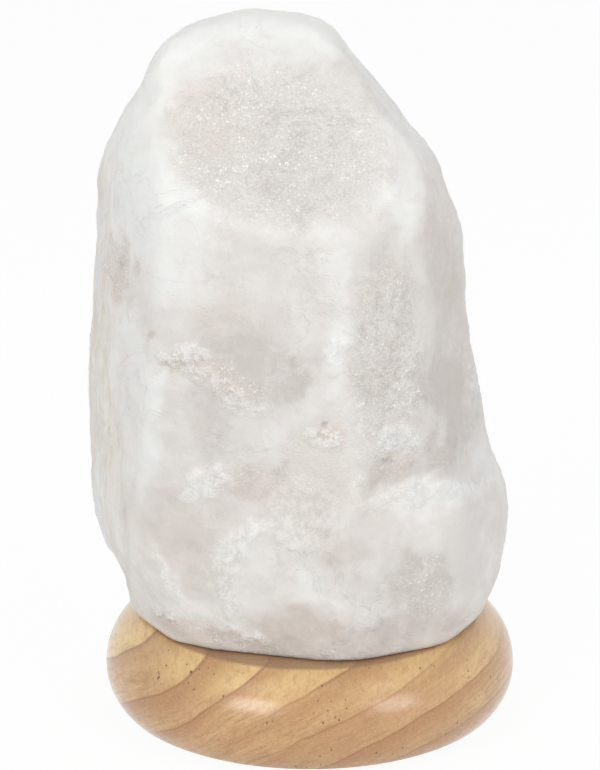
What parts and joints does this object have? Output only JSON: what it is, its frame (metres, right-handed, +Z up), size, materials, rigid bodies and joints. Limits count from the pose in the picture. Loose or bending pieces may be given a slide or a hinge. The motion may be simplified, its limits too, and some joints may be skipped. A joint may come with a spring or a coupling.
{
  "type": "salt crystal lamp",
  "caption": "Hewn rock-salt crystal standing on a round turned wooden base, with a small screw-in bulb on a spring-clip holder pushed up inside it.",
  "frame": {"origin": "on the plane that the lamp stands on, under the centre of the turned base", "axes": "+Z up along the axis of the turned base and of the bulb; the crystal's hollow oval face looks to -Y; +X to the right seen from the front"},
  "size_m": [0.1352, 0.13, 0.2219],
  "materials": {
    "rock_salt": "frosted translucent",
    "lacquered_pine": "satin lacquer",
    "clear_rubber": "translucent, satin",
    "zinc_steel": "zinc plated",
    "grey_nylon": "matte",
    "white_moulding": "satin",
    "block_ceramic": "unglazed",
    "brass": "pressed",
    "spring_steel": "bright",
    "nickel_cap": "rolled",
    "black_glass": "gloss",
    "solder": "soldered",
    "clear_glass": "clear",
    "stem_glass": "clear",
    "tungsten": "drawn"
  },
  "bodies": {
    "lamp": {"base_screws": "zinc_steel", "rubber_foot_1": "clear_rubber", "rubber_foot_2": "clear_rubber", "rubber_foot_3": "clear_rubber", "rubber_foot_4": "clear_rubber", "salt_crystal": "rock_salt", "screw_plugs": "grey_nylon", "wood_base": "lacquered_pine"},
    "holder": {"holder_cap": "white_moulding", "holder_body": "white_moulding", "screw_shell": "brass", "terminal_block": "block_ceramic", "terminal_screws": "brass", "centre_contact": "brass", "clip_right": "spring_steel", "clip_left": "spring_steel", "clip_rivets": "nickel_cap"},
    "bulb_point": {"bulb_tip": "solder"},
    "bulb": {"bulb_insulator": "black_glass", "bulb_screw_cap": "nickel_cap", "bulb_glass": "clear_glass", "bulb_stem": "stem_glass", "bulb_lead_wires": "tungsten", "bulb_filament": "tungsten"}
  },
  "joints": [
    {"name": "holder_pull", "type": "slide", "parent": "lamp", "child": "holder", "axis": [0, 0, -1], "range_m": [0, 0.1]},
    {"name": "bulb_rise", "type": "slide", "parent": "holder", "child": "bulb_point", "axis": [0, 0, 1], "range_m": [0, 0.00988]},
    {"name": "bulb_turn", "type": "hinge", "parent": "bulb_point", "child": "bulb", "pos_m": [0, 0, 0.032], "axis": [0, 0, 1], "range_deg": [0, 1260]}
  ],
  "couplings": [
    {"joint": "bulb_rise", "follows": "bulb_turn", "m_per_rad": 0.00044914}
  ]
}
